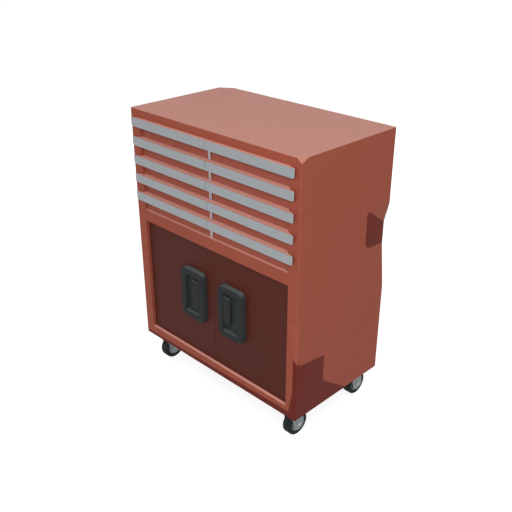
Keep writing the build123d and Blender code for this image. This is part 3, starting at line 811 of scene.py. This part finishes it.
# %% Round the extrusions, the mouldings and the casters
PULL_RADIUS = 0.6 * MM
MOULD_RADIUS = 1.2 * MM
PLATE_RADIUS = 0.6 * MM
ROUND_STEPS = 3
CASTERS = [f"{end}_{side}" for end in ("front", "rear") for side in SIDES]
die_edges = [(PULL_RADIUS, ROUND_STEPS, every_edge)]
mould_edges = [(MOULD_RADIUS, ROUND_STEPS, every_edge)]
plate_edges = [(PLATE_RADIUS, CUT_STEPS, every_edge)]
for drawer in drawers:
    dress(f"{drawer}_pull", die_edges)
dress("center_mullion", die_edges)
for side in SIDES:
    dress(f"{side}_handle_housing", mould_edges)
    dress(f"{side}_handle_paddle", [], "paddle_black")
for caster in CASTERS:
    dress(f"{caster}_caster_fork", plate_edges, bare=True)
dress("caster_plates", plate_edges)
print("dressed in all:", len(dressed))

# %% [markdown]
# ## Hardware that repeats
# Screws, bolts and rivets are one shape set down many times, each along its own direction. They
# could be copied in a loop, but Geometry Nodes is the tool for it: the shape is built once from
# sizes with names, and set on every point of a mesh, along a direction that each point carries. A
# turn about that direction, drawn with a fixed seed, leaves the slots and corners at different
# angles, as a wrench does.

# %% A tree that sets one shape on many points
CREASE_OVER = math.radians(30)
TURN_SEED = 7
SIZES = ("Radius", "Height")


def vector(tree, x, y, z):
    """Three numbers or fields as one vector."""
    return tree.node("ShaderNodeCombineXYZ", {}, {"X": x, "Y": y, "Z": z})


def point_rotation(tree):
    """Along each point's facing, with a random turn about it."""
    read = {"data_type": "FLOAT_VECTOR"}
    facing = tree.node("GeometryNodeInputNamedAttribute", read, {"Name": "facing"})
    aligned = tree.node("FunctionNodeAlignRotationToVector", {"axis": "Z"}, {"Vector": facing})
    circle = {2: 0.0, 3: math.tau, "Seed": TURN_SEED}
    angle = tree.node("FunctionNodeRandomValue", {}, circle, 1)
    turn = tree.node("FunctionNodeEulerToRotation", {}, {"Euler": vector(tree, 0, 0, angle)})
    sockets = {"Rotation": aligned, "Rotate By": turn}
    return tree.node("FunctionNodeRotateRotation", {"rotation_space": "LOCAL"}, sockets)


def creased(tree, solid):
    """Smooth shading with a crease at every sharp edge."""
    kind = "GeometryNodeSetShadeSmooth"
    smooth = tree.node(kind, {"domain": "FACE"}, {0: solid, "Shade Smooth": True})
    sharp = tree.math("GREATER_THAN", tree.node("GeometryNodeInputMeshEdgeAngle"), CREASE_OVER)
    sockets = {0: smooth, "Selection": sharp, "Shade Smooth": False}
    return tree.node(kind, {"domain": "EDGE"}, sockets)


def hardware_tree(name, shape):
    """A tree whose named sizes make one shape, set on every point."""
    group = bpy.data.node_groups.new(name, "GeometryNodeTree")
    sockets = {"Points": "Geometry", **{size: "Float" for size in SIZES}, "Finish": "Material"}
    for label, kind in sockets.items():
        group.interface.new_socket(label, in_out="INPUT", socket_type="NodeSocket" + kind)
    group.interface.new_socket("Hardware", in_out="OUTPUT", socket_type="NodeSocketGeometry")
    tree = Field(group)
    entry = tree.node("NodeGroupInput")
    solid = shape(tree, *[entry.out(size) for size in SIZES])
    spread = {"Points": entry, "Instance": solid, "Rotation": point_rotation(tree)}
    placed = tree.node("GeometryNodeInstanceOnPoints", {}, spread)
    real = tree.node("GeometryNodeRealizeInstances", {}, {"Geometry": placed})
    coated = {"Geometry": creased(tree, real), "Material": entry.out("Finish")}
    done = tree.node("GeometryNodeSetMaterial", {}, coated)
    tree.node("NodeGroupOutput", {}, {"Hardware": done})
    return group


print("hardware trees take", SIZES)

# %% [markdown]
# ## From a tree to a plain piece
# A tree works on a mesh of bare points. What it makes lives only in its modifier, and an export
# would not see it. It could be applied by hand, but the evaluated object already holds the result,
# so a plain mesh is taken from that and the points are thrown away.

# %% Run a tree and keep its mesh
def plain_mesh(thing, name):
    """Turn an object with modifiers into a plain one of this name, and drop the first."""
    graph = bpy.context.evaluated_depsgraph_get()
    mesh = bpy.data.meshes.new_from_object(thing.evaluated_get(graph), depsgraph=graph)
    bpy.data.objects.remove(thing)
    mesh.name = name
    return link(bpy.data.objects.new(name, mesh))


def set_hardware(group, name, places, radius, height, finish):
    """Run a tree on places, each a point and the way it faces, and give a plain piece."""
    mesh = bpy.data.meshes.new(name + "_points")
    mesh.from_pydata([point for point, facing in places], [], [])
    facings = mesh.attributes.new("facing", "FLOAT_VECTOR", "POINT")
    for entry, (point, facing) in zip(facings.data, places):
        entry.vector = facing
    rough = link(bpy.data.objects.new(name + "_points", mesh))
    modifier = rough.modifiers.new(name, "NODES")
    modifier.node_group = group
    values = {"Radius": radius, "Height": height, "Finish": finishes[finish]}
    for item in group.interface.items_tree:
        if item.in_out == "INPUT" and item.name in values:
            modifier[item.identifier] = values[item.name]
    return plain_mesh(rough, name)


print("hardware kit ready")

# %% [markdown]
# ## Screws in the back
# The back panel is held by pan-head screws. A pan head is a flattened dome with a cross pressed
# into it for the driver. It could be modelled by hand, but a tree keeps its sizes open: it is a
# squashed sphere, from which a block below the seat and two crossed blades are cut. The places come
# from the solids: each loose solid of the screws' node is one screw.

# %% Turn a cross-head screw and set them all
DOME_SEGMENTS = 20
DOME_RINGS = 10
CUTTER_SHARE = 3
BLADE_LENGTH_SHARE = 1.1
BLADE_WIDTH_SHARE = 0.26
BLADE_DEPTH_SHARE = 1.1
SCREW_HEAD_HEIGHT = 1.6 * MM
REARWARD = Vector((0, 1, 0))


def place_shape(tree, shape, lift, scale=PLAIN):
    """Scale a shape and lift it along its own axis."""
    sockets = {
        "Geometry": shape,
        "Translation": vector(tree, 0, 0, lift),
        "Scale": vector(tree, *scale),
    }
    return tree.node("GeometryNodeTransform", {}, sockets)


def brick(tree, x, y, z, lift):
    """A block of these sizes with its middle lifted along its axis."""
    cube = tree.node("GeometryNodeMeshCube", {}, {"Size": vector(tree, x, y, z)})
    return place_shape(tree, cube, lift)


def cut_dome(tree, radius, height, tools):
    """A dome of this radius and height, seated at nought, less its tools."""
    ball = {"Segments": DOME_SEGMENTS, "Rings": DOME_RINGS, "Radius": 1.0}
    sphere = tree.node("GeometryNodeMeshUVSphere", {}, ball)
    dome = place_shape(tree, sphere, 0.0, (radius, radius, height))
    wide = CUTTER_SHARE * radius
    below = brick(tree, wide, wide, 2 * height, -1 * height)
    how = {"operation": "DIFFERENCE", "solver": "EXACT"}
    return tree.node("GeometryNodeMeshBoolean", how, {"Mesh 1": dome, "Mesh 2": [below] + tools})


def cross_screw(tree, radius, height):
    """A pan head with a cross recess."""
    long = BLADE_LENGTH_SHARE * radius
    thin = BLADE_WIDTH_SHARE * radius
    deep = BLADE_DEPTH_SHARE * height
    blades = [brick(tree, long, thin, deep, height), brick(tree, thin, long, deep, height)]
    return cut_dome(tree, radius, height, blades)


screws = loose_boxes("back_panel_screws")
seat_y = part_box("left_side_panel")[1].y
screw_radius = (screws[0][1].x - screws[0][0].x) / 2
screw_places = []
for low, high in screws:
    seat = Vector(((low.x + high.x) / 2, seat_y, (low.z + high.z) / 2))
    screw_places.append((seat, REARWARD))
screw_tree = hardware_tree("cross_screw", cross_screw)
back_screws = set_hardware(
    screw_tree, "back_screws", screw_places, screw_radius, SCREW_HEAD_HEIGHT, "screw_zinc")
stand_for(back_screws, "back_panel_screws")
print("back screws:", len(screw_places))

# %% [markdown]
# ## Bolts of the casters
# Each caster plate hangs on four hex bolts with a washer, and a nut above the channel holds each
# one. A hex head is a six-sided bar whose corners are turned off at a shallow angle. A bevel could
# not do that, because it would follow the edges, so in the tree a six-sided cylinder is cut down to
# what it shares with a wide cone. Heads look down and nuts look up, and one tree makes both.

# %% Turn a hex head with a washer and set the bolts
HEX_SIDES = 6
ROUND_SIDES = 24
CONE_SIDES = 48
HEAD_HEIGHT = 5.0 * MM
NUT_HEIGHT = 6.5 * MM
WASHER_THICKNESS = 1.0 * MM
WASHER_SHARE = 1.25
TURNED_SHARE = 0.84
TURNED_SLOPE = 1.7
SKYWARD = Vector((0, 0, 1))


def disc(tree, sides, radius, depth):
    """A short bar with this many sides, standing on nought."""
    bar = {"Vertices": sides, "Radius": radius, "Depth": depth}
    return place_shape(tree, tree.node("GeometryNodeMeshCylinder", {}, bar), 0.5 * depth)


def hex_head(tree, radius, height):
    """A washer with a hex head on it, its corners turned off."""
    head_depth = height - WASHER_THICKNESS
    washer = disc(tree, ROUND_SIDES, WASHER_SHARE * radius, WASHER_THICKNESS)
    crown = TURNED_SHARE * radius
    cone = {
        "Vertices": CONE_SIDES,
        "Radius Top": crown,
        "Radius Bottom": crown + TURNED_SLOPE * head_depth,
        "Depth": head_depth,
    }
    turned = tree.node("GeometryNodeMeshCone", {}, cone)
    shared = {"Mesh 2": [disc(tree, HEX_SIDES, radius, head_depth), turned]}
    how = {"operation": "INTERSECT", "solver": "EXACT"}
    head = place_shape(tree, tree.node("GeometryNodeMeshBoolean", how, shared), WASHER_THICKNESS)
    return tree.node("GeometryNodeJoinGeometry", {}, {"Geometry": [washer, head]})


bolts = loose_boxes("caster_bolts")
bolt_radius = (bolts[0][1].x - bolts[0][0].x) / 2
bolt_places = []
for low, high in bolts:
    x, y = (low.x + high.x) / 2, (low.y + high.y) / 2
    bolt_places.append((Vector((x, y, low.z + HEAD_HEIGHT)), -SKYWARD))
    bolt_places.append((Vector((x, y, high.z - NUT_HEIGHT)), SKYWARD))
bolt_tree = hardware_tree("hex_head", hex_head)
caster_bolts = set_hardware(
    bolt_tree, "caster_bolt_heads", bolt_places, bolt_radius, HEAD_HEIGHT, "screw_zinc")
stand_for(caster_bolts, "caster_bolts")
print("bolt heads and nuts:", len(bolt_places))

# %% [markdown]
# ## Axle bolts of the casters
# Each wheel runs on a bolt through both cheeks of its fork, with a hex head on one side, a nut on
# the other and a washer under both. They could join the plate bolts in one piece, but they swivel
# with the fork, so every caster gets a piece of its own, from the same tree. The solid's plain
# round heads were left out of the dressed forks.

# %% Set a head and a nut on every axle
AXLE_HEAD_HEIGHT = 4.5 * MM
ACROSS = Vector((1, 0, 0))
for caster in CASTERS:
    low, high = loose_boxes(f"{caster}_caster_fork")[0]
    y, z = (low.y + high.y) / 2, (low.z + high.z) / 2
    axle_radius = (high.y - low.y) / 2 / WASHER_SHARE
    axle_places = [
        (Vector((high.x - AXLE_HEAD_HEIGHT, y, z)), ACROSS),
        (Vector((low.x + AXLE_HEAD_HEIGHT, y, z)), -ACROSS),
    ]
    axle_heads = set_hardware(
        bolt_tree, f"{caster}_axle_heads", axle_places, axle_radius, AXLE_HEAD_HEIGHT, "axle_zinc")
    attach(axle_heads, frame["nodes"][f"{caster}_caster_fork"]["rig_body"])
print("axles:", len(CASTERS))

# %% [markdown]
# ## Rivets in the drawers
# A drawer's rails are riveted through the walls of its tray, and the rivet heads show inside once
# the drawer is pulled out. A rivet is the screw's dome without its cross. One piece could hold them
# all, but every drawer is a body of its own, so each gets its own piece, from the same tree.

# %% Set three rivets along each wall of a drawer
RIVET_RADIUS = 3.4 * MM
RIVET_HEIGHT = 1.2 * MM
TRAY_SHEET = 1.0 * MM
RIVET_SHARES = (0.1, 0.5, 0.9)


def rivet(tree, radius, height):
    """A plain dome."""
    return cut_dome(tree, radius, height, [])


rivet_tree = hardware_tree("rivet", rivet)
for drawer in drawers:
    low, high = loose_boxes(f"{drawer}_tray")[-1]
    rivet_places = []
    for share in RIVET_SHARES:
        y, z = low.y + share * (high.y - low.y), (low.z + high.z) / 2
        rivet_places.append((Vector((low.x + TRAY_SHEET, y, z)), ACROSS))
        rivet_places.append((Vector((high.x - TRAY_SHEET, y, z)), -ACROSS))
    rivets = set_hardware(
        rivet_tree, f"{drawer}_rivets", rivet_places, RIVET_RADIUS, RIVET_HEIGHT, "slide_zinc")
    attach(rivets, drawer)
print("riveted drawers:", len(drawers))

# %% [markdown]
# ## The rest keeps its solid
# Slides, pins, latch pieces and wheels are plain shapes that are right as they stand. They could be
# dressed too, but nothing would show, so they only get their finish, by the slot that the record
# names for each.

# %% Give every other node its finish
plain_nodes = [node for node in frame["nodes"] if node not in dressed]
for node in plain_nodes:
    materials = frame["nodes"][node].data.materials
    materials.clear()
    materials.append(finishes[slot_of[node]])
print("finished as solids:", len(plain_nodes))

# %% [markdown]
# ## A white floor
# The cabinet stands on a pale floor that runs to white. A white floor needs strong light to look
# white, and strong light would bleach the paint, so the floor adds what is missing only for rays
# that come from the camera or from a reflection. Where the cabinet keeps light off the floor it is
# still darker, so the shadow stays.

# %% Lay the floor
FLOOR_SIZE = 60.0
FLOOR_COLOR = (0.4, 0.4, 0.4, 1)
FLOOR_GLOW = 0.78
WHITE = (1, 1, 1, 1)
CLAMP_STOPS = ((0, 0), (1, 1))


def seen_directly(tree):
    """One for rays from the camera, and for what is seen in gloss or through glass."""
    path = tree.node("ShaderNodeLightPath", {}, {}, "Is Camera Ray")
    rays = path + path.out("Is Glossy Ray") + path.out("Is Transmission Ray")
    return rays.ramp(*CLAMP_STOPS)


floor_mesh = bmesh.new()
bmesh.ops.create_grid(floor_mesh, x_segments=1, y_segments=1, size=FLOOR_SIZE / 2)
floor = link(bpy.data.objects.new("floor", bpy.data.meshes.new("floor")))
floor_mesh.to_mesh(floor.data)
floor_mesh.free()
floor_paint, tree = new_material("studio_floor")
sheet = tree.node("ShaderNodeBsdfDiffuse", {}, {"Color": FLOOR_COLOR})
shine = {"Color": WHITE, "Strength": FLOOR_GLOW * seen_directly(tree)}
glow = tree.node("ShaderNodeEmission", {}, shine)
both = tree.node("ShaderNodeAddShader", {}, {0: sheet, 1: glow})
tree.node("ShaderNodeOutputMaterial", {}, {"Surface": both})
floor.data.materials.append(floor_paint)
print("floor:", FLOOR_SIZE, "m wide")

# %% [markdown]
# ## The sky
# An even white sky gives the soft light of a tent. At full strength it would flatten the cabinet,
# so it lights at a part of its strength and is white only where it is seen, by the same rays as the
# floor. A picture of a studio could light it too, but it would bring its own colours along.

# %% Light the sky
SKY_LIGHT = 0.6
world = bpy.data.worlds.new("studio")
bpy.context.scene.world = world
world.use_nodes = True
world.node_tree.nodes.clear()
tree = Field(world.node_tree)
strength = SKY_LIGHT + (1 - SKY_LIGHT) * seen_directly(tree)
sky = tree.node("ShaderNodeBackground", {}, {"Color": WHITE, "Strength": strength})
tree.node("ShaderNodeOutputWorld", {}, {"Surface": sky})
bpy.context.scene.view_settings.view_transform = "Standard"
print("sky light:", SKY_LIGHT)

# %% [markdown]
# ## The two soft boxes
# One wide soft box does the modelling. It stands near the camera's direction and fairly low, so
# that its light reaches under the pulls, into the recess of the doors and into the pockets of the
# handles. It is wide for its distance, so its shadows have no edge.
#
# A smaller box stands opposite it, for a look at the back and the left side, which would be flat
# and dull under the sky alone. It hangs level with the middle of the cabinet: any higher, and its
# light would graze the lid and show there as a bright patch in the main view.

# %% Hang the lamps
LAMPS = {
    "key_box": {"azimuth": 42, "elevation": 30, "distance": 3.6, "size": 2.4, "watts": 84},
    "back_box": {"azimuth": 222, "elevation": 0, "distance": 3.6, "size": 0.95, "watts": 55},
}
for name, lamp in LAMPS.items():
    light = bpy.data.lights.new(name, "AREA")
    light.shape = "SQUARE"
    light.size = lamp["size"]
    light.energy = lamp["watts"]
    box = link(bpy.data.objects.new(name, light))
    aim(box, outward(lamp["azimuth"], lamp["elevation"]), lamp["distance"], VIEW_TARGET)
print("lamps:", list(LAMPS))
